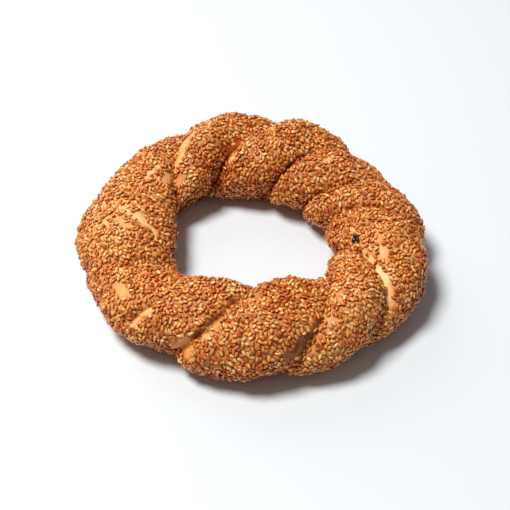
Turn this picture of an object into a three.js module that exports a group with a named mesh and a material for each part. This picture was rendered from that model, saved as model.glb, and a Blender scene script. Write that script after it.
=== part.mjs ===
// A simit: a ring of bread dough, twisted into ten puffed lobes, that rests on a flat base.
// Millimetres, +Z up. The origin is on the table, under the middle of the ring's own box.
import * as THREE from 'three';
import { ParametricGeometry } from 'three/addons/geometries/ParametricGeometry.js';

// Driving dimensions.
const HALF_WIDTH = 22.4; // half the dough's width, measured level
const HALF_HEIGHT = 18.0; // half its height, before the base goes flat
const CENTRE_HEIGHT = 0.93; // height of the dough's middle over the table, in half-heights
const PUFF = 0.03; // how far a lobe swells between its two creases, in half-widths
const CREASE_SHARPNESS = 2; // power that narrows a crease towards its floor
const CREASE_FLOOR = 0.02; // rounding of a crease's floor, in lobes
const BASE_FADE = 0.36; // height below which creases fade into the base, in half-heights
const LEAN_FADE = 0.4; // height below which creases stop leaning, in half-heights

// One row for each crease, going anticlockwise seen from above.
// crown: azimuth in degrees where it crosses the top. lean: degrees of azimuth that it moves for each
// degree round the section, from the outer side over the top to the inner side. outer and inner: how
// many degrees more it bends by, down each side. depth: in half-widths.
const CREASES = [
  { crown: -156.5, lean: 0.12, outer: 0, inner: -1.5, depth: 0.1 },
  { crown: -101.0, lean: 0.19, outer: 1.8, inner: 2, depth: 0.18 },
  { crown: -55.2, lean: 0.25, outer: 2.5, inner: 0, depth: 0.15 },
  { crown: -24.4, lean: 0.2, outer: -1, inner: 0, depth: 0.22 },
  { crown: 10.1, lean: 0.14, outer: 0, inner: 0, depth: 0.21 },
  { crown: 32.0, lean: 0.13, outer: 1, inner: 4, depth: 0.22 },
  { crown: 59.5, lean: 0.2, outer: 0, inner: -1, depth: 0.26 },
  { crown: 92.4, lean: 0.36, outer: 9, inner: -12, depth: 0.37 },
  { crown: 128.5, lean: 0.25, outer: 2.5, inner: -3, depth: 0.25 },
  { crown: 176.0, lean: 0.21, outer: 0, inner: 0, depth: 0.03 },
];

// Places where the dough is squeezed in, low on its sides. s and around say where the middle is, as in
// crustPoint, with around in degrees. depth: in half-widths. length: in lobes. turn: in degrees.
const PINCHES = [
  { s: 0.79, around: -30, depth: 0.08, length: 0.22, turn: 35 },
  { s: 5.46, around: 205, depth: 0.12, length: 0.25, turn: 35 },
  { s: 7.58, around: 205, depth: 0.42, length: 0.28, turn: 35 },
];

// The hand-rolled ring is uneven: its mid-line's radius and the dough's thickness, at equal steps of
// azimuth that start on +X.
const CORE_RADII = [59.1, 55.6, 58.4, 63.2, 62.1, 60.7, 59.0, 53.2, 53.7, 58.6];
const THICKNESS = [0.997, 0.924, 1.057, 1.01, 0.886, 0.995, 0.875, 1.037, 1.004, 0.935];

// Mesh density.
const STEPS_PER_LOBE = 10;
const STEPS_ROUND_SECTION = 36;

const DEGREE = Math.PI / 180;
const LOBES = CREASES.length;

// A smooth closed curve through equally spaced values, at position s counted in values.
// Each time round adds the rise.
function along(values, s, rise = 0) {
  const count = values.length;
  const first = Math.floor(s);
  const t = s - first;
  const value = (i) => {
    const turns = Math.floor(i / count);
    return values[i - turns * count] + turns * rise;
  };
  const points = [-1, 0, 1, 2].map((step) => value(first + step));
  const bend = 2 * points[0] - 5 * points[1] + 4 * points[2] - points[3];
  const twist = 3 * (points[1] - points[2]) + points[3] - points[0];
  return points[1] + 0.5 * t * (points[2] - points[0] + t * (bend + t * twist));
}

// Depth of the crease nearest to s, in half-widths: a V with a rounded floor that opens into the lobes.
function creaseDepth(s) {
  const nearest = Math.round(s);
  const away = Math.hypot(s - nearest, CREASE_FLOOR) - CREASE_FLOOR;
  const { depth } = CREASES[nearest % LOBES];
  return depth * (1 - Math.sin(Math.PI * Math.min(away, 0.5))) ** CREASE_SHARPNESS;
}

// How far the pinches draw the crust in, in half-widths: each falls off as a bell round its middle.
function pinchDepth(s, around) {
  const degrees = around / DEGREE;
  return PINCHES.reduce((total, pinch) => {
    const aside = (s - pinch.s) / pinch.length;
    const turned = (degrees - pinch.around) / pinch.turn;
    return total + pinch.depth * Math.exp(-(aside ** 2) - turned ** 2);
  }, 0);
}

// A point of the crust. s counts lobes round the ring, so every crease lies on a whole number.
// around is the angle round the section: 0 faces out, 90 degrees is the top, 180 faces the hole.
function crustPoint(s, around, target) {
  const out = Math.cos(around);
  const up = Math.sin(around);
  const leanShare = THREE.MathUtils.smoothstep((up + 1) / LEAN_FADE, 0, 1);
  const creaseShare = THREE.MathUtils.smoothstep((up + 1) / BASE_FADE, 0, 1);

  const crown = along(CREASES.map((crease) => crease.crown), s, 360);
  const lean = along(CREASES.map((crease) => crease.lean), s);
  const side = around < Math.PI / 2 ? 'outer' : 'inner';
  const bend = along(CREASES.map((crease) => crease[side]), s) * DEGREE * (1 - up);
  const azimuth = crown * DEGREE + (lean * (around - Math.PI / 2) + bend) * leanShare;

  const lap = THREE.MathUtils.euclideanModulo(azimuth / (2 * Math.PI), 1);
  const station = lap * CORE_RADII.length;
  const core = along(CORE_RADII, station);
  const thickness = along(THICKNESS, station);

  const swell = PUFF * Math.sin(Math.PI * s) ** 2;
  const reach = 1 + creaseShare * (swell - creaseDepth(s)) - pinchDepth(s, around);
  const radius = core + HALF_WIDTH * thickness * reach * out;
  const height = HALF_HEIGHT * thickness * (CENTRE_HEIGHT + reach * up);
  return target.set(radius * Math.cos(azimuth), radius * Math.sin(azimuth), Math.max(height, 0));
}

// The whole ring as one closed surface, moved so that its box stands centred on the origin.
function ringGeometry() {
  const surface = (u, v, target) => {
    const lap = u % 1;
    const round = v % 1;
    return crustPoint(lap * LOBES, (round * 360 - 90) * DEGREE, target);
  };
  const geometry = new ParametricGeometry(surface, STEPS_PER_LOBE * LOBES, STEPS_ROUND_SECTION);
  geometry.computeBoundingBox();
  const middle = geometry.boundingBox.getCenter(new THREE.Vector3());
  return geometry.translate(-middle.x, -middle.y, 0);
}

// Baked dough under toasted sesame: golden brown and matt.
const crust = new THREE.MeshStandardMaterial({ color: 0xb1683f, roughness: 0.7, metalness: 0 });

const ring = new THREE.Mesh(ringGeometry(), crust);
ring.name = 'simit';

const simit = new THREE.Group();
simit.add(ring);

export default simit;
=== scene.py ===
import bpy
import numpy as np
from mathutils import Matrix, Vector


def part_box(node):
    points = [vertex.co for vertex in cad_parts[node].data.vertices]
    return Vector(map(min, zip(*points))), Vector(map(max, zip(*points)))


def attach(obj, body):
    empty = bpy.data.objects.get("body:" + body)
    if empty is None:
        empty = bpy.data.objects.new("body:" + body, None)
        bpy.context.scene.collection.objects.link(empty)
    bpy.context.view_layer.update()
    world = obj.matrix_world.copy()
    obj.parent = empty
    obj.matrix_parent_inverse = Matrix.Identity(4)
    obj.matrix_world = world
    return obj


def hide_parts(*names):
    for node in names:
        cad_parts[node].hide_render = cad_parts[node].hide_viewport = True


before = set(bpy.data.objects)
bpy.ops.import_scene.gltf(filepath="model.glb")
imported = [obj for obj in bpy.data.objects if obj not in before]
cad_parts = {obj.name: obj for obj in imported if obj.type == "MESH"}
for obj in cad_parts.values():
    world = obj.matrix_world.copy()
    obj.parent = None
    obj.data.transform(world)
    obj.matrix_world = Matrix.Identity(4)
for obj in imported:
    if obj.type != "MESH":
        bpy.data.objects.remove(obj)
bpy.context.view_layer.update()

mm = 0.001
wholeTurn = 2 * np.pi
lobes = 10
lobeLength = 37.0  # mm along the ring from crease to crease, about
degreeLength = 0.35  # mm for each degree round the section, about

# The dough, in millimetres and degrees: a hand-rolled ring, twisted into ten puffed lobes.
# Every list under "crease" has one value for each crease, going anticlockwise seen from above.
ring = {
    "halfWidth": 22.4,  # half the dough's width, measured level
    "halfHeight": 18.0,
    "centreHeight": 0.93,  # the dough's middle over the table, in half-heights
    "puff": 0.03,  # swell of a lobe between its creases, in half-widths
    "creaseFloor": 0.02,  # rounding of a crease's floor, in lobes
    "creasePower": 2,  # the higher, the narrower the creases
    "baseFade": 0.36,  # below this height creases fade into the base, in half-heights
    "leanFade": 0.4,  # below this height they stop leaning
    "creaseCrown": [-156.5, -101.0, -55.2, -24.4, 10.1, 32.0, 59.5, 92.4, 128.5, 176.0],
    "creaseLean": [0.12, 0.19, 0.25, 0.2, 0.14, 0.13, 0.2, 0.36, 0.25, 0.21],
    # how much further they bend down the outer side, and down the hole side
    "creaseOuter": [0.0, 1.8, 2.5, -1.0, 0.0, 1.0, 0.0, 9.0, 2.5, 0.0],
    "creaseInner": [-1.5, 2.0, 0.0, 0.0, 0.0, 4.0, -1.0, -12.0, -3.0, 0.0],
    "creaseDepth": [0.1, 0.18, 0.15, 0.22, 0.21, 0.22, 0.26, 0.37, 0.25, 0.03],
    "creaseLip": [0.0, 0.5, 0.5, 0.4, 0.2, -0.3, -0.5, -0.5, -0.2, 0.0],  # above 0 the next lobe is steep
    "lipBlend": 0.06,  # lobes either side of a crease over which its two slopes blend
    "coreRadii": [59.1, 55.6, 58.4, 63.2, 62.1, 60.7, 59.0, 53.2, 53.7, 58.6],
    "thickness": [0.997, 0.924, 1.057, 1.01, 0.886, 0.995, 0.875, 1.037, 1.004, 0.935],
    # places squeezed in low on the sides: s, angle, depth in half-widths, reach in lobes and degrees
    "pinches": [
        (0.79, -30.0, 0.08, 0.22, 35.0),
        (5.46, 205.0, 0.12, 0.25, 35.0),
        (7.58, 205.0, 0.42, 0.28, 35.0),
    ],
    "reachHeight": 20.0,  # mm over the surface for each unit of reach, on dough of normal thickness
    "inset": 0.45,  # room left under the solid's surface for the seeds
    "baseLift": 0.25,  # pressed seeds keep the dough this far off the table
    "lumps": [(34.0, 0.35), (15.0, 0.34), (6.0, 0.13), (2.6, 0.05)],  # wavelength and height
    "lumpWaves": 24,
    "lumpSeed": 20,
    "lumpFade": 0.5,  # below this height lumps and cuts fade into the base, in half-heights
    "steps": (600, 165),  # along the ring and round its section
}

# Where the dough was stretched after the seeds went on, or lost them. Angles run round the section:
# 0 faces out, 90 is the top and 180 faces the hole.
bareDough = {
    # start and end as (s, angle), half-width in mm at each, and its tone from 0 to 1, pale to toasted to
    # deep brown: the deep tones on crease floors and on walls that face away from the key are partly painted
    # shade, and the pale tones on the narrow lips that face it partly painted light
    "strips": [
        ((7.0, 97.0), (7.0, 126.0), 2.6, 2.6, 0.5),
        ((7.0, 126.0), (7.02, 148.0), 2.3, 1.8, 0.7),
        ((6.94, 106.0), (6.93, 140.0), 0.5, 1.0, 0.1),
        ((7.876, 77.0), (7.94, 104.0), 3.6, 2.2, 0.3),
        ((6.02, 84.0), (5.98, 144.0), 1.2, 2.2, 0.97),
        ((5.01, 80.0), (4.98, 134.0), 0.9, 1.3, 0.93),
        ((4.03, 60.0), (4.05, 112.0), 0.9, 0.9, 0.6),
        ((3.035, 113.0), (3.00, 87.0), 1.6, 2.0, 0.05),
        ((3.00, 87.0), (3.03, 54.0), 1.8, 1.7, 0.0),
        ((3.03, 54.0), (3.07, 27.0), 1.7, 1.2, 0.22),
        ((1.99, 112.0), (1.98, 62.0), 0.5, 0.9, 0.7),
        ((1.95, 60.0), (1.87, 22.0), 1.5, 3.3, 0.84),
        ((0.98, 114.0), (0.975, 30.0), 0.5, 1.3, 0.97),
        ((1.03, 110.0), (1.035, 34.0), 0.0, 0.4, 0.35),
        ((0.955, 24.0), (1.06, -6.0), 2.1, 1.3, 0.45),
        ((0.02, 74.0), (-0.03, 132.0), 0.5, 1.1, 0.85),
        ((8.92, 78.0), (8.95, 105.0), 0.5, 1.3, 0.16),
        ((10.06, 70.0), (9.99, 100.0), 0.7, 1.0, 0.2),
        ((9.99, 100.0), (9.935, 136.0), 1.0, 0.6, 0.3),
        ((0.54, 56.0), (0.58, 20.0), 0.8, 1.0, 0.25),
        ((0.5, 57.0), (0.535, 21.0), 0.5, 0.6, 0.92),
        ((0.95, 22.0), (0.985, -6.0), 1.5, 1.8, 0.5),
        ((8.95, 105.0), (9.0, 131.0), 1.9, 2.0, 0.16),
    ],
    # s, angle, half-length along the ring and half-width round the section in mm, how toasted
    "patches": [
        (0.272, 53.5, 3.3, 2.7, 0.42),
        (8.15, 112.0, 4.0, 3.3, 0.27),
        (8.324, 92.0, 2.9, 2.1, 0.12),
        (7.89, 134.0, 1.8, 2.4, 0.62),
        (3.4, 130.0, 2.4, 1.7, 0.3),
        (3.22, 84.0, 1.7, 2.0, 0.32),
        (9.35, 70.0, 1.8, 1.6, 0.2),
        (5.62, 96.0, 1.6, 2.4, 0.3),
    ],
    # places with fewer seeds: s, angle, half-length and half-width in mm, share of the seeds missing
    "thin": [
        (9.12, 84.0, 11.0, 9.0, 0.22),
        (1.14, 98.0, 6.0, 7.0, 0.12),
        (3.25, 92.0, 8.0, 6.0, 0.12),
        (2.12, 60.0, 5.0, 14.0, 0.15),
    ],
    # start and end as (s, angle), depth and half-width in mm
    "grooves": [
        ((0.496, 60.0), (0.536, 23.0), 2.2, 1.4),
        ((10.0, 72.0), (9.93, 104.0), 1.4, 1.4),
        ((9.93, 104.0), (9.875, 142.0), 1.7, 1.4),
    ],
    "ragged": 0.54,  # mm by which the edges wander, about
    "raggedWaves": (7.0, 20, 11),  # wavelength in mm, how many waves, seed
    "softEdge": 1.2,  # mm over which the smooth dough gives way to seeds
    "margin": 0.6,  # mm by which seeds' middles keep clear of the edge
    # depth in mm of the sharp cut along each crease's floor, and its half-width
    "cuts": [1.1, 2.3, 2.3, 1.0, 1.7, 2.4, 2.6, 2.0, 1.0, 0.2],
    "cutHalfWidth": 1.7,
    # how dark the crust under the seeds is on each lobe, from 0 to 1, and how much more on the hole side:
    # partly baking, partly painted shade for the shade in the gaps between seeds and on the side that faces
    # the hole
    "bakedAndShaded": [0.46, 0.58, 0.2, 0.36, 0.5, 0.5, 0.5, 0.52, 0.16, 0.08],
    "bakedAndShadedInside": 0.1,
}


def throughValues(values, s, rise=0.0):
    # A smooth closed curve through equally spaced values: each stretch is the cubic whose slope at
    # a value is half the step between that value's neighbours. Each time round adds the rise.
    values = np.asarray(values, float)
    count = len(values)
    first = np.floor(s).astype(int)
    t = s - first
    a, b, c, d = [values[(first + k) % count] + rise * ((first + k) // count) for k in (-1, 0, 1, 2)]
    return b + 0.5 * t * (c - a + t * (2 * a - 5 * b + 4 * c - d + t * (3 * (b - c) + d - a)))


def ease(x):
    # From 0 to 1 with level ends: 3 x squared less 2 x cubed.
    x = np.clip(x, 0, 1)
    return x * x * (3 - 2 * x)


def waves(points, wavelength, count, seed):
    # Unevenness in space, about 1 either way: a sum of sine waves that run in random directions,
    # with wavelengths near the one given.
    dice = np.random.default_rng(seed)
    heading = dice.normal(size=(count, 3))
    heading /= np.linalg.norm(heading, axis=1, keepdims=True)
    rate = wholeTurn / (wavelength * dice.uniform(0.7, 1.4, count))
    phase = dice.uniform(0, wholeTurn, count)
    total = sum(np.sin(points @ h * r + p) for h, r, p in zip(heading, rate, phase))
    return total * np.sqrt(2 / count)


def lobesFrom(s, middle):
    # How many lobes s lies past the middle, by the shorter way round the ring.
    return (s - middle + lobes / 2) % lobes - lobes / 2


def sectionDegrees(angle):
    # The angle round the section in degrees, from -90 at the base round to 270.
    return (np.degrees(angle) + 90) % 360 - 90


def creaseShape(s):
    # 1 at a crease's floor and 0 half a lobe away: (1 - sin(pi away)) to a power, which is larger
    # on the side where the lobe's end is steep.
    nearest = np.round(s).astype(int)
    side = s - nearest
    away = np.hypot(side, ring["creaseFloor"]) - ring["creaseFloor"]
    lip = np.asarray(ring["creaseLip"])[nearest % lobes] * np.clip(side / ring["lipBlend"], -1, 1)
    return (1 - np.sin(np.pi * np.minimum(away, 0.5))) ** (ring["creasePower"] * (1 + lip))


def ringPoints(s, angle, proud=0.0, lift=0.0):
    # The ring's surface in millimetres. s counts lobes round the ring and angle turns round the
    # section. Azimuth = the crease curve at s, plus its lean times the angle past the top, plus its
    # bend on that side times (1 - sin(angle)); the last two fade out towards the base.
    # Radius = mid-line + half-width * reach * cos(angle), height = half-height * (centre + reach *
    # sin(angle)), cut off flat at the base. Reach is 1, less the crease, plus the lobe's swell, less
    # the pinches, each of which falls off as a bell round its middle, plus how proud the point is.
    out = np.cos(angle)
    up = np.sin(angle)
    outer = throughValues(ring["creaseOuter"], s)
    inner = throughValues(ring["creaseInner"], s)
    bend = np.radians(np.where(angle < np.pi / 2, outer, inner)) * (1 - up)
    lean = throughValues(ring["creaseLean"], s) * (angle - np.pi / 2) + bend
    crown = np.radians(throughValues(ring["creaseCrown"], s, 360))
    azimuth = crown + lean * ease((up + 1) / ring["leanFade"])
    station = (azimuth / wholeTurn % 1) * len(ring["coreRadii"])
    core = throughValues(ring["coreRadii"], station)
    thickness = throughValues(ring["thickness"], station)
    creaseShare = ease((up + 1) / ring["baseFade"])
    depth = np.asarray(ring["creaseDepth"])[np.round(s).astype(int) % lobes] * creaseShape(s)
    swell = ring["puff"] * np.sin(np.pi * s) ** 2
    reach = 1 + creaseShare * (swell - depth) + proud / (ring["reachHeight"] * thickness)
    for middle, turned, size, length, turn in ring["pinches"]:
        aside = lobesFrom(s, middle) / length
        reach = reach - size * np.exp(-(aside**2) - ((sectionDegrees(angle) - turned) / turn) ** 2)
    radius = core + ring["halfWidth"] * thickness * reach * out
    height = ring["halfHeight"] * thickness * (ring["centreHeight"] + reach * up)
    x = radius * np.cos(azimuth)
    y = radius * np.sin(azimuth)
    return np.stack([x, y, np.maximum(height, lift)], -1)


def fromLine(s, angle, start, end):
    # How far along the line from start to end a point lies, from 0 to 1, and its distance from the
    # line in mm. The line's ends are (s, angle in degrees).
    a = np.array([start[0] * lobeLength, start[1] * degreeLength])
    b = np.array([end[0] * lobeLength, end[1] * degreeLength])
    nearS = lobesFrom(s, start[0]) + start[0]
    place = np.stack([nearS * lobeLength, sectionDegrees(angle) * degreeLength], -1) - a
    share = np.clip(place @ (b - a) / ((b - a) @ (b - a)), 0, 1)
    return share, np.linalg.norm(place - share[..., None] * (b - a), axis=-1)


def fromOval(s, angle, middle, top, halfLength, halfWidth):
    # Distance from an oval's middle, where 1 is its edge: each way in mm over the oval's half-size.
    along = lobesFrom(s, middle) * lobeLength / halfLength
    across = (sectionDegrees(angle) - top) * degreeLength / halfWidth
    return np.hypot(along, across)


def bareness(s, angle, points, margin=0.0):
    # How bare the dough is, from 0 under the seeds to 1 where it shows smooth, and its tone, which is
    # partly toasting and partly painted light and shade on crease lips and floors. Each strip follows a line
    # and each patch is an oval;
    # the distance inside the edge, in mm, sets both. The margin widens them all.
    wander = bareDough["ragged"] * waves(points, *bareDough["raggedWaves"])
    inside = np.full(np.shape(angle), -9.0)  # mm: well outside every edge
    toastAndShade = np.full(np.shape(angle), 0.5)
    for start, end, widthFirst, widthLast, tone in bareDough["strips"]:
        share, away = fromLine(s, angle, start, end)
        deep = widthFirst + (widthLast - widthFirst) * share - away
        toastAndShade = np.where(deep > inside, tone, toastAndShade)
        inside = np.maximum(inside, deep)
    for *oval, tone in bareDough["patches"]:
        deep = (1 - fromOval(s, angle, *oval)) * min(oval[2:])
        toastAndShade = np.where(deep > inside, tone, toastAndShade)
        inside = np.maximum(inside, deep)
    return ease((inside + margin + wander) / bareDough["softEdge"] + 0.5), toastAndShade


def bakedAndShadedAt(s, angle):
    # How dark the crust is, partly from baking and partly as painted shade: a lobe's own value at its
    # middle, smooth between lobes, and more on the side that faces the hole, by -cos(angle), painted shade
    # for the shade that falls there.
    inside = bareDough["bakedAndShadedInside"] * ease(-np.cos(angle))
    return throughValues(bareDough["bakedAndShaded"], (s - 0.5) % lobes) + inside


def grooveDepth(s, angle):
    # A groove's depth at a point: deepest on the line between its two ends, and falling off as a
    # bell with the distance from it.
    total = 0
    for start, end, depth, halfWidth in bareDough["grooves"]:
        away = fromLine(s, angle, start, end)[1]
        total = total + depth * np.exp(-((away / halfWidth) ** 2))
    return total


def doughPoints(s, angle):
    # The bare dough: the ring's surface drawn in a little, plus lumps, which are waves of four
    # lengths, less the cut at the nearest crease's floor, which is a bell, less the grooves.
    plain = ringPoints(s, angle)
    height = -ring["inset"]
    for number, (wavelength, size) in enumerate(ring["lumps"]):
        height = height + size * waves(plain, wavelength, ring["lumpWaves"], ring["lumpSeed"] + number)
    share = ease((np.sin(angle) + 1) / ring["lumpFade"])
    nearest = np.round(s).astype(int)
    away = (s - nearest) * lobeLength / bareDough["cutHalfWidth"]
    cut = np.asarray(bareDough["cuts"])[nearest % lobes] * np.exp(-(away**2))
    height = (height + ring["inset"] - cut) * share - ring["inset"] - grooveDepth(s, angle)
    return ringPoints(s, angle, height, ring["baseLift"])


# The ring's own box is centred on the solid's box.
gridS = np.linspace(0, lobes, 501)[:, None]
gridAngle = np.radians(np.linspace(-90, 270, 181))[None]
nominal = ringPoints(*np.broadcast_arrays(gridS, gridAngle)).reshape(-1, 3) * mm
solidLow, solidHigh = [np.array(corner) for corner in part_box("simit")]
shift = (solidLow + solidHigh) / 2 - (nominal.min(0) + nominal.max(0)) / 2
shift[2] = solidLow[2]


def placed(points):
    # Millimetres in the ring's own formula to metres in the frame.
    return points * mm + shift


def cornerPlaces(*corners):
    # Each face's corners on the map, from one pair of arrays for each corner: across and up.
    return np.stack([np.stack(np.broadcast_arrays(*corner), -1) for corner in corners], -2)


def makeMesh(name, points, faces, places, fields, material):
    # One mesh object at the origin, from arrays: points in metres, faces as arrays of equally many
    # corners, the map place of each corner, and one number for each point in each field.
    mesh = bpy.data.meshes.new(name)
    corners = np.concatenate([f.ravel() for f in faces]).astype(np.int32)
    sizes = np.concatenate([np.full(len(f), f.shape[1]) for f in faces])
    mesh.vertices.add(len(points))
    mesh.vertices.foreach_set("co", points.astype(np.float32).ravel())
    mesh.loops.add(len(corners))
    mesh.loops.foreach_set("vertex_index", corners)
    mesh.polygons.add(len(sizes))
    mesh.polygons.foreach_set("loop_start", (np.cumsum(sizes) - sizes).astype(np.int32))
    layer = mesh.uv_layers.new(name="OFBake")
    layer.data.foreach_set("uv", np.concatenate([p.ravel() for p in places]).astype(np.float32))
    for field, values in fields.items():
        mesh.attributes.new(field, "FLOAT", "POINT").data.foreach_set("value", values.astype(np.float32))
    mesh.materials.append(material)
    mesh.update(calc_edges=True)
    mesh.validate()
    mesh.shade_smooth()
    piece = bpy.data.objects.new(name, mesh)
    bpy.context.scene.collection.objects.link(piece)
    return piece


def linear(code):
    # An sRGB hex colour as linear red, green, blue and alpha.
    parts = np.array([int(code[k : k + 2], 16) for k in (1, 3, 5)]) / 255
    flat = np.where(parts <= 0.04045, parts / 12.92, ((parts + 0.055) / 1.055) ** 2.4)
    return (*flat, 1.0)


def node(tree, kind, settings=None, **links):
    # Adds a node. settings are its own properties, or values for its sockets by name or number;
    # links join its sockets to (node, output) pairs. In a link's name _ stands for a space, and
    # one that is _ and a number means the socket of that number.
    made = tree.nodes.new(kind)
    for key, value in (settings or {}).items():
        if isinstance(key, int) or key in made.inputs:
            made.inputs[key].default_value = value
        else:
            setattr(made, key, value)
    for key, (source, output) in links.items():
        place = int(key[1:]) if key[1:].isdigit() else key.replace("_", " ")
        tree.links.new(source.outputs[output], made.inputs[place])
    return made


def emptyMaterial(name):
    # A new material and its tree, with no nodes yet.
    material = bpy.data.materials.new(name)
    material.use_nodes = True
    material.node_tree.nodes.clear()
    return material, material.node_tree


crustLook = {
    "underSeeds": "#F4AE62",
    # the dark end under the seeds is partly toasting, partly painted shade for the gaps between seeds
    "underSeedsBakedAndShaded": "#882A04",
    "bare": "#F8CF92",
    "bareToasted": "#DC8E3C",
    # deep brown for crease floors and the walls that face away from the key: partly toasting, partly painted
    # shade
    "bareDeepAndShaded": "#762E0A",
    "cloud": 13.0,  # mm across a toasted cloud
    "mottle": 2.4,  # mm across the fine mottling
    "pore": 0.7,  # mm between pores
    "unevenBaking": 0.9,  # how far clouds and mottling each move the baking
    "unevenToasting": 0.5,  # the share of that which shows on smooth dough
    "bumpHeight": 0.12,  # mm
    "bumpStrength": 0.5,
    "mottleBump": 2.5,  # height of the mottling, in pores' heights
    "roughness": 0.58,
    "ior": 1.45,
}


def bakedDough(look):
    # Wheat dough, dipped in thinned grape molasses and baked: matt, cream to golden where it is
    # stretched smooth, and red-brown under the seeds and in the folds, partly toasted and partly painted
    # shade for the gaps between seeds and the crease floors.
    material, tree = emptyMaterial("bakedDough")
    where = node(tree, "ShaderNodeTexCoord")
    cloudSettings = {"Scale": 1 / (look["cloud"] * mm), "Detail": 3.0}
    cloud = node(tree, "ShaderNodeTexNoise", cloudSettings, Vector=(where, "Object"))
    mottleSettings = {"Scale": 1 / (look["mottle"] * mm), "Detail": 4.0}
    mottle = node(tree, "ShaderNodeTexNoise", mottleSettings, Vector=(where, "Object"))
    poreSettings = {"Scale": 1 / (look["pore"] * mm), "Detail": 3.0}
    pores = node(tree, "ShaderNodeTexNoise", poreSettings, Vector=(where, "Object"))
    bare = node(tree, "ShaderNodeAttribute", {"attribute_name": "bare"})
    bakedAndShaded = node(tree, "ShaderNodeAttribute", {"attribute_name": "bakedAndShaded"})
    toastAndShade = node(tree, "ShaderNodeAttribute", {"attribute_name": "toastAndShade"})
    # each noise, about 0.5, is centred on 0 before the two are added
    centred = {"operation": "MULTIPLY_ADD", 1: look["unevenBaking"], 2: -look["unevenBaking"] / 2}
    fine = node(tree, "ShaderNodeMath", centred, _0=(mottle, 0))
    broad = node(tree, "ShaderNodeMath", centred, _0=(cloud, 0))
    uneven = node(tree, "ShaderNodeMath", {"operation": "ADD"}, _0=(fine, 0), _1=(broad, 0))
    clamped = {"operation": "ADD", "use_clamp": True}
    # painted shade, partly: the crust's level darkens the dough between seeds, where shade falls in the gaps
    bakedAndShadedLevel = node(tree, "ShaderNodeMath", clamped, _0=(bakedAndShaded, "Fac"), _1=(uneven, 0))
    swayed = {"operation": "MULTIPLY_ADD", 1: look["unevenToasting"]}
    toastAndShadeLevel = node(tree, "ShaderNodeMath", swayed, _0=(uneven, 0), _2=(toastAndShade, "Fac"))
    # smooth dough goes from pale to toasted up to 0.5, and from there on to deep brown, which on crease
    # floors and shaded walls is partly painted shade
    palePart = node(tree, "ShaderNodeMapRange", {"From Min": 0.0, "From Max": 0.5}, Value=(toastAndShadeLevel, 0))
    deepAndShadedPart = node(tree, "ShaderNodeMapRange", {"From Min": 0.5, "From Max": 1.0}, Value=(toastAndShadeLevel, 0))
    underSeeds = {"data_type": "RGBA", 6: linear(look["underSeeds"]), 7: linear(look["underSeedsBakedAndShaded"])}
    under = node(tree, "ShaderNodeMix", underSeeds, _0=(bakedAndShadedLevel, 0))
    paleDough = {"data_type": "RGBA", 6: linear(look["bare"]), 7: linear(look["bareToasted"])}
    smooth = node(tree, "ShaderNodeMix", paleDough, _0=(palePart, 0))
    deepAndShadedDough = {"data_type": "RGBA", 7: linear(look["bareDeepAndShaded"])}
    foldedAndShaded = node(tree, "ShaderNodeMix", deepAndShadedDough, _0=(deepAndShadedPart, 0), _6=(smooth, 2))
    both = {"data_type": "RGBA"}
    colour = node(tree, "ShaderNodeMix", both, _0=(bare, "Fac"), _6=(under, 2), _7=(foldedAndShaded, 2))
    raised = {"operation": "MULTIPLY_ADD", 1: look["mottleBump"]}
    height = node(tree, "ShaderNodeMath", raised, _0=(mottle, 0), _2=(pores, 0))
    bumpSettings = {"Strength": look["bumpStrength"], "Distance": look["bumpHeight"] * mm}
    bump = node(tree, "ShaderNodeBump", bumpSettings, Height=(height, 0))
    finish = {"Roughness": look["roughness"], "IOR": look["ior"]}
    shader = node(tree, "ShaderNodeBsdfPrincipled", finish, Base_Color=(colour, 2), Normal=(bump, 0))
    node(tree, "ShaderNodeOutputMaterial", Surface=(shader, "BSDF"))
    return material


def makeDough():
    # The dough as one closed grid, s along the ring and angle round its section.
    columns, rows = ring["steps"]
    i, j = np.meshgrid(np.arange(columns), np.arange(rows), indexing="ij")
    s = i * lobes / columns
    angle = j * wholeTurn / rows - np.pi / 2
    points = doughPoints(s, angle)
    bare, toastAndShade = bareness(s, angle, points)
    index = i * rows + j
    after = np.roll(index, -1, 0)
    faces = np.stack([index, after, np.roll(after, -1, 1), np.roll(index, -1, 1)], -1).reshape(-1, 4)
    left, right = i / columns, (i + 1) / columns
    low, high = j / rows, (j + 1) / rows
    places = cornerPlaces((left, low), (right, low), (right, high), (left, high))
    fields = {"bare": bare.ravel(), "toastAndShade": toastAndShade.ravel(), "bakedAndShaded": bakedAndShadedAt(s, angle).ravel()}
    return makeMesh("dough", placed(points.reshape(-1, 3)), [faces], [places], fields, bakedDough(crustLook))


dough = makeDough()
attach(dough, "root")
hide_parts("simit")
print("dough:", len(dough.data.polygons), "faces")

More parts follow.
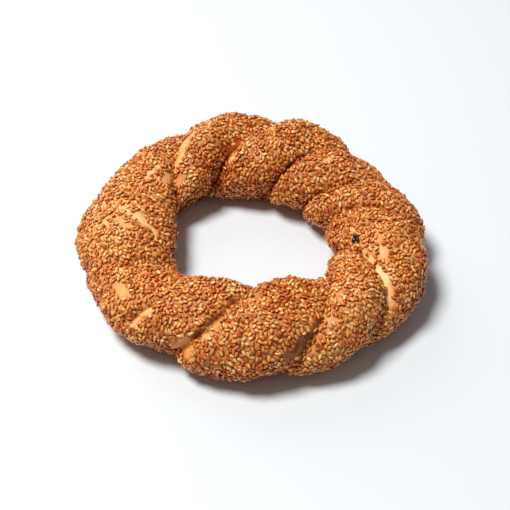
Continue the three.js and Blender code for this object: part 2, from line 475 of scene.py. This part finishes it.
sesame = {
    "candidates": 100000,
    "headings": 4,  # directions tried for a seed before its place is given up
    "length": (2.8, 0.2),  # mean and spread in mm
    "width": (1.92, 0.12),
    "thickness": (1.16, 0.1),
    "limits": (0.82, 1.18),  # least and greatest size, as a share of the mean
    "discStep": 0.55,  # a seed is kept clear by three discs in a row, this far apart in mm
    "gap": 1.34,  # least distance between the discs of two seeds, in mm
    "lowGap": 1.04,  # the same for the second helping, whose seeds rest on their neighbours
    "boxSize": 3.2,  # mm: seeds whose middles are further apart never touch
    "sunk": 0.4,  # a seed's middle stands this far over the dough, in mm
    "liftOnTop": 0.35,  # and this much more in the second helping
    "liftSpread": 0.12,  # either way
    "liftTipped": 0.4,  # more again for one that stands on end
    "liftBurnt": 0.75,
    "tipped": 15.0,  # degrees of a seed's length out of the dough: its spread
    "tippedOnTop": 18.0,  # and what the second helping adds, one way or the other
    "rolled": 26.0,  # spread in degrees of its turn about its own length
    "tip": 0.3,  # how much narrower the tip is than the other end
    "fullness": 0.9,  # power of the thickness towards both ends: the lower, the fuller
    "rings": (24, 56, 90, 125, 157),  # degrees from the tip, where the seed's rings of points lie
    "sides": 7,
    "underSlope": -0.8,  # dough that faces down by more than this is under the ring
    "underShare": 0.45,  # of the seeds that stay there
    "bareFactor": 1.02,  # times the bareness: the chance that a seed is left out
    # how toasted a seed is: weight of chance, of the crust's darkness, which is partly painted shade, and of
    # waves, each with its wavelength in mm, how many waves it has and its seed
    "toastChance": 0.9,
    "toastBakedAndShaded": 0.8,
    "toastWaves": [(0.12, 40, 20, 31), (0.25, 11, 20, 32)],
    # kind: share of the seeds, hull colour of the palest and of the most toasted seed in the kind
    "kinds": {
        "sesamePale": (0.2, "#FFCA80", "#FFB660"),
        "sesameGolden": (0.28, "#FCAE56", "#F59E42"),
        "sesameAmber": (0.28, "#F19640", "#E68230"),
        "sesameRusset": (0.24, "#E27C2C", "#C0560F"),
    },
    "rimShade": "#781E00",  # painted shade: a dark edge standing for the shadow in the gaps round and under each seed
    # s and angle of each burnt seed, and their colours, the rim one painted shade like the others'
    "burnt": [(8.788, 80.0), (3.185, 120.5), (3.235, 124.5), (3.17, 127.5)],
    "burntHull": ("#2C1C12", "#1C120C"),
    "burntRimShade": "#160C08",
    "rimShadeShare": 0.82,  # how much of the painted rim shade the very edge has
    "grain": 0.9,  # mm across a blotch on a hull
    "blotch": 0.6,  # how far blotches move the toasting
    "bumpHeight": 0.05,  # mm
    "bumpStrength": 0.3,
    "roughness": 0.19,
    "ior": 1.47,
}


def seedTemplate():
    # One seed, 1 long, 1 wide and 1 thick: an ellipsoid narrowed towards its tip. At angle q from
    # the tip the middle lies at -cos(q) / 2, the half-width is sin(q) * (1 - tip * cos(q)), scaled
    # to 1/2 at its widest, and the half-thickness is sin(q) to a power, halved.
    # Rim shade, the weight of the painted shade at the edge, is 1 along the two edges and at both ends, and
    # 0 on the flat sides: cos(r) squared.
    q = np.radians(sesame["rings"])
    sides = sesame["sides"]
    r = np.arange(sides) * wholeTurn / sides
    narrow = 1 - sesame["tip"] * np.cos(q)
    narrow = np.sin(q) * narrow / np.max(np.sin(q) * narrow) / 2
    x = np.repeat(-np.cos(q) / 2, sides)
    y = np.outer(narrow, np.cos(r)).ravel()
    z = np.outer(np.sin(q) ** sesame["fullness"] / 2, np.sin(r)).ravel()
    points = np.concatenate([[[-0.5, 0, 0]], np.stack([x, y, z], -1), [[0.5, 0, 0]]])
    rimShade = np.concatenate([[1], np.tile(np.abs(np.cos(r)) ** 2, len(q)), [1]])
    index = 1 + np.arange(len(q) * sides).reshape(len(q), sides)
    after = np.roll(index, -1, 1)
    tipFaces = np.stack([np.zeros(sides, int), after[0], index[0]], -1)
    endFaces = np.stack([index[-1], after[-1], np.full(sides, len(points) - 1)], -1)
    quads = np.stack([index[:-1], after[:-1], after[1:], index[1:]], -1).reshape(-1, 4)
    left = np.arange(sides) / sides
    right = (np.arange(sides) + 1) / sides
    middle = (left + right) / 2
    v = q / np.pi
    low, high = v[:-1, None], v[1:, None]
    tipPlaces = cornerPlaces((middle, 0.0), (right, v[0]), (left, v[0]))
    endPlaces = cornerPlaces((left, v[-1]), (right, v[-1]), (middle, 1.0))
    quadPlaces = cornerPlaces((left, low), (right, low), (right, high), (left, high)).reshape(-1, 4, 2)
    triangles = np.concatenate([tipFaces, endFaces])
    return points, rimShade, triangles, quads, np.concatenate([tipPlaces, endPlaces]), quadPlaces


def spans(surface, s, angle, stepAlong, stepRound):
    # How far the surface runs along the ring and round the section, from a small step either way.
    along = surface(s + stepAlong, angle) - surface(s - stepAlong, angle)
    across = surface(s, angle + stepRound) - surface(s, angle - stepRound)
    return along, across


def frameOn(s, angle):
    # Where a seed lies on the dough, and the unit directions along the ring, round the section and
    # out of the dough there.
    here = doughPoints(s, angle)
    along, across = spans(doughPoints, s, angle, 0.004, 0.02)
    out = np.cross(along, across)
    out /= np.linalg.norm(out, axis=-1, keepdims=True)
    along /= np.linalg.norm(along, axis=-1, keepdims=True)
    return here, along, np.cross(out, along), out


def scatterSeeds(dice):
    # Draws places evenly over the dough's area, then keeps those that lie clear of every seed kept
    # before: three discs stand for a seed, and each must be a gap away from its neighbours' discs.
    # The first half of the places lie on the dough, and the second half fills in on top, closer.
    # The burnt seeds come first, and are kept wherever they lie.
    # Places are first drawn evenly in s and angle, twice as many as are wanted, and then the smaller
    # the area that such a place stands for, the likelier it is to be dropped. The largest half a
    # per cent are always kept.
    count = sesame["candidates"]
    tries = count * 2
    s = dice.uniform(0, lobes, tries)
    angle = dice.uniform(-np.pi / 2, 1.5 * np.pi, tries)
    area = np.linalg.norm(np.cross(*spans(ringPoints, s, angle, 0.01, 0.04)), axis=-1)
    kept = dice.uniform(0, np.quantile(area, 0.995), tries) < area
    burnt = np.array(sesame["burnt"])
    s = np.concatenate([burnt[:, 0], s[kept][:count]])
    angle = np.concatenate([np.radians(burnt[:, 1]), angle[kept][:count]])
    count = len(s)
    here, along, across, out = frameOn(s, angle)
    headingStep = np.pi / sesame["headings"]
    turn = dice.uniform(0, wholeTurn, count)[:, None] + np.arange(sesame["headings"]) * headingStep
    headings = np.cos(turn)[..., None] * along[:, None] + np.sin(turn)[..., None] * across[:, None]
    bare = bareness(s, angle, here, bareDough["margin"])[0]
    onSeeded = dice.uniform(0, 1, count) > bare * sesame["bareFactor"]
    under = out[:, 2] < sesame["underSlope"]
    wanted = onSeeded & (~under | (dice.uniform(0, 1, count) < sesame["underShare"]))
    # thin places miss their full share out to half their size, and none from one and a half on
    missing = np.zeros(count)
    for *oval, share in bareDough["thin"]:
        missing = np.maximum(missing, share * ease(1.5 - fromOval(s, angle, *oval)))
    wanted[: len(burnt)] = True
    missing[: len(burnt)] = 0
    discs = here[:, None, None] + headings[:, :, None] * (np.array([-1, 0, 1])[:, None] * sesame["discStep"])
    cells = np.floor(here / sesame["boxSize"]).astype(int)
    boxes = {}
    order = []
    facing = []
    helpings = []
    keptDiscs = np.zeros((count, 3, 3))
    near = [(i, j, k) for i in (-1, 0, 1) for j in (-1, 0, 1) for k in (-1, 0, 1)]
    for helping, gap in enumerate((sesame["gap"], sesame["lowGap"])):
        for n in range(count * helping // 2, count * (helping + 1) // 2):
            if not wanted[n]:
                continue
            a, b, c = cells[n]
            others = [m for i, j, k in near for m in boxes.get((a + i, b + j, c + k), ())]
            chosen = 0
            if others and n >= len(burnt):
                apart = keptDiscs[others].reshape(1, 1, -1, 3) - discs[n][:, :, None]
                room = (apart**2).sum(-1).min((1, 2))
                chosen = int(room.argmax())
                if room[chosen] < gap * gap:
                    continue
            boxes.setdefault((a, b, c), []).append(n)
            keptDiscs[n] = discs[n][chosen]
            order.append(n)
            facing.append(headings[n][chosen])
            helpings.append(helping)
    order = np.array(order)
    left = dice.uniform(0, 1, len(order)) > missing[order]
    order = order[left]
    return s[order], angle[order], here[order], np.array(facing)[left], out[order], np.array(helpings)[left]


def seedHull(name, pale, toastAndShade, rimShadeColour):
    # Sesame hull, roasted on the crust: satin, ivory to brown, and darker along its edge and ends with
    # painted shade for the shadow in the gaps round it.
    material, tree = emptyMaterial(name)
    where = node(tree, "ShaderNodeTexCoord")
    shade = node(tree, "ShaderNodeAttribute", {"attribute_name": "tone"})
    rimShade = node(tree, "ShaderNodeAttribute", {"attribute_name": "rimShade"})
    grainSettings = {"Scale": 1 / (sesame["grain"] * mm), "Detail": 2.0}
    grain = node(tree, "ShaderNodeTexNoise", grainSettings, Vector=(where, "Object"))
    centred = {"operation": "MULTIPLY_ADD", 1: sesame["blotch"], 2: -sesame["blotch"] / 2}
    blotch = node(tree, "ShaderNodeMath", centred, _0=(grain, 0))
    clamped = {"operation": "ADD", "use_clamp": True}
    level = node(tree, "ShaderNodeMath", clamped, _0=(shade, "Fac"), _1=(blotch, 0))
    hullColours = {"data_type": "RGBA", 6: linear(pale), 7: linear(toastAndShade)}
    hull = node(tree, "ShaderNodeMix", hullColours, _0=(level, 0))
    # painted shade: the edge and both ends mix towards the dark rim colour
    edgeShade = node(tree, "ShaderNodeMath", {"operation": "MULTIPLY", 1: sesame["rimShadeShare"]}, _0=(rimShade, "Fac"))
    rimShaded = {"data_type": "RGBA", 7: linear(rimShadeColour)}
    colour = node(tree, "ShaderNodeMix", rimShaded, _0=(edgeShade, 0), _6=(hull, 2))
    bumpSettings = {"Strength": sesame["bumpStrength"], "Distance": sesame["bumpHeight"] * mm}
    bump = node(tree, "ShaderNodeBump", bumpSettings, Height=(grain, 0))
    finish = {"Roughness": sesame["roughness"], "IOR": sesame["ior"]}
    shader = node(tree, "ShaderNodeBsdfPrincipled", finish, Base_Color=(colour, 2), Normal=(bump, 0))
    node(tree, "ShaderNodeOutputMaterial", Surface=(shader, "BSDF"))
    return material


def seedsPiece(name, material, places, headings, outs, sizes, tones, template):
    # Carries the template to every seed as one array: point = place + heading * x * length +
    # side * y * width + out * z * thickness. Each seed has a cell of its own on the map.
    points, rimShade, triangles, quads, trianglePlaces, quadPlaces = template
    axes = (headings, np.cross(outs, headings), outs)
    local = points[None] * sizes[:, None]
    offset = sum(local[..., k, None] * axes[k][:, None] for k in range(3))
    world = places[:, None] + offset
    world[..., 2] = np.maximum(world[..., 2], 0.02)  # seeds under the ring are pressed on the table
    count = len(places)
    perSeed = np.arange(count)[:, None, None] * len(points)
    faces = [(triangles[None] + perSeed).reshape(-1, 3), (quads[None] + perSeed).reshape(-1, 4)]
    across = int(np.ceil(np.sqrt(count)))
    corner = np.stack([np.arange(count) % across, np.arange(count) // across], -1)[:, None, None]
    border = 0.06  # of a cell, kept free all round a seed's map
    maps = [(corner + border + (1 - 2 * border) * p[None]) / across for p in (trianglePlaces, quadPlaces)]
    fields = {"rimShade": np.tile(rimShade, count), "tone": np.repeat(tones, len(points))}
    return makeMesh(name, placed(world.reshape(-1, 3)), faces, maps, fields, material)


def makeSeeds(dice):
    # Scatters the seeds, leans and sizes each one, and makes one piece for each kind.
    s, angle, here, heading, out, helping = scatterSeeds(dice)
    count = len(s)
    print("seeds placed:", count, "of them on top of others:", int(helping.sum()))

    # The burnt ones come first, and lie flat on the others.
    isBurnt = np.arange(count) < len(sesame["burnt"])
    tippedOnTop = sesame["tippedOnTop"]
    tipped = dice.normal(0, sesame["tipped"], count) + helping * dice.choice([-1, 1], count) * tippedOnTop
    nod = np.radians(tipped)[:, None]
    roll = np.radians(dice.normal(0, sesame["rolled"], count))[:, None]
    nod[isBurnt] = 0
    roll[isBurnt] = 0

    # Nodding turns a seed's length and outward directions into each other, and rolling its outward
    # and side directions.
    heading, out = heading * np.cos(nod) + out * np.sin(nod), out * np.cos(nod) - heading * np.sin(nod)
    lean = out * np.cos(roll) + np.cross(out, heading) * np.sin(roll)
    sway = dice.uniform(-sesame["liftSpread"], sesame["liftSpread"], count)
    lift = sesame["sunk"] + helping * sesame["liftOnTop"] + sway
    lift = lift + np.abs(np.sin(nod[:, 0])) * sesame["liftTipped"]
    places = here + out * lift[:, None]
    places[isBurnt] += sesame["liftBurnt"] * out[isBurnt]

    least, most = sesame["limits"]
    sizes = []
    for mean, spread in (sesame["length"], sesame["width"], sesame["thickness"]):
        sizes.append(np.clip(dice.normal(mean, spread, count), mean * least, mean * most))
    sizes = np.stack(sizes, -1)

    toast = sesame["toastChance"] * dice.normal(0, 1, count)
    for weight, *kind in sesame["toastWaves"]:
        toast = toast + weight * waves(here, *kind)
    # seeds on darker crust rank more toasted, which is partly painted shade
    toast += sesame["toastBakedAndShaded"] * bakedAndShadedAt(s, angle)

    # Rank by toasting, from 0 to 1, splits the seeds into kinds. The burnt ones are put lowest, so
    # that they rank below 0 and are in none of them.
    toast[isBurnt] = -9
    rank = (np.argsort(np.argsort(toast)) - isBurnt.sum()) / (count - isBurnt.sum())
    groups = []
    low = 0
    for name, (share, pale, toastAndShade) in sesame["kinds"].items():
        chosen = (rank >= low) & (rank < low + share)
        groups.append((name, chosen, (rank[chosen] - low) / share, pale, toastAndShade, sesame["rimShade"]))
        low += share
    burntTones = np.linspace(0, 1, isBurnt.sum())
    groups.append(("sesameBurnt", isBurnt, burntTones, *sesame["burntHull"], sesame["burntRimShade"]))
    template = seedTemplate()
    for name, chosen, tones, *colours in groups:
        spots = (places[chosen], heading[chosen], lean[chosen], sizes[chosen])
        piece = seedsPiece(name, seedHull(name, *colours), *spots, tones, template)
        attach(piece, "root")
        print(name + ":", int(chosen.sum()), "seeds,", len(piece.data.polygons), "faces")


makeSeeds(np.random.default_rng(7))

# The camera looks down on the ring from the front. aim is in mm from the middle of the solid's box,
# and aimHeight from the table.
eye = {
    "elevation": 46.5,
    "distance": 600.0,
    "lens": 90.1,
    "sensor": 36.0,
    "aim": (1.53, -10.53),
    "aimHeight": 16.0,
    "nearest": 0.01,  # metres
}
studio = {
    "floor": "#DCE1E3",
    "floorRoughness": 0.7,
    "floorHalf": 3.0,  # half its side, in metres
    "fill": "#FAFAFF",
    "fillStrength": 0.18,
    # direction from the ring, distance and size in metres, power in watts, colour
    "lamps": {
        "key": ((-0.37, -0.04, 1.0), 1.5, 0.52, 25.8, "#FFFFFF"),
        "backFill": ((-0.6, 1.0, 0.7), 1.6, 1.4, 8.5, "#FAFAFF"),
    },
}


def makeCamera():
    data = bpy.data.cameras.new("camera")
    data.lens = eye["lens"]
    data.sensor_width = eye["sensor"]
    data.clip_start = eye["nearest"]
    camera = bpy.data.objects.new("camera", data)
    bpy.context.scene.collection.objects.link(camera)
    middle = (solidLow + solidHigh) / 2
    aim = Vector((middle[0] + eye["aim"][0] * mm, middle[1] + eye["aim"][1] * mm, eye["aimHeight"] * mm))
    tilt = np.radians(eye["elevation"])
    camera.location = aim + Vector((0, -np.cos(tilt), np.sin(tilt))) * eye["distance"] * mm
    camera.rotation_euler = (np.pi / 2 - tilt, 0, 0)
    bpy.context.scene.camera = camera


def paleCard():
    # Uncoated off-white card, smooth and matt: it gives an even ground that takes soft shadows.
    material, tree = emptyMaterial("paleCard")
    finish = {"Base Color": linear(studio["floor"]), "Roughness": studio["floorRoughness"]}
    shader = node(tree, "ShaderNodeBsdfPrincipled", finish)
    node(tree, "ShaderNodeOutputMaterial", Surface=(shader, "BSDF"))
    return material


def makeStudio():
    # A pale matt floor, a soft key high on the left, a broad lamp behind and an even fill all round.
    half = studio["floorHalf"]
    mesh = bpy.data.meshes.new("floor")
    corners = [(-half, -half, 0), (half, -half, 0), (half, half, 0), (-half, half, 0)]
    mesh.from_pydata(corners, [], [(0, 1, 2, 3)])
    mesh.materials.append(paleCard())
    floor = bpy.data.objects.new("floor", mesh)
    bpy.context.scene.collection.objects.link(floor)
    for name, (direction, distance, size, power, colour) in studio["lamps"].items():
        lamp = bpy.data.lights.new(name, "AREA")
        lamp.shape = "DISK"
        lamp.size = size
        lamp.energy = power
        lamp.color = linear(colour)[:3]
        light = bpy.data.objects.new(name, lamp)
        towards = Vector(direction).normalized()
        light.location = towards * distance
        light.rotation_euler = towards.to_track_quat("Z", "Y").to_euler()
        bpy.context.scene.collection.objects.link(light)
    world = bpy.data.worlds.new("fill")
    world.use_nodes = True
    background = world.node_tree.nodes["Background"]
    background.inputs[0].default_value = linear(studio["fill"])
    background.inputs[1].default_value = studio["fillStrength"]
    bpy.context.scene.world = world
    bpy.context.scene.view_settings.view_transform = "Standard"


makeCamera()
makeStudio()
print("camera and lights are set")
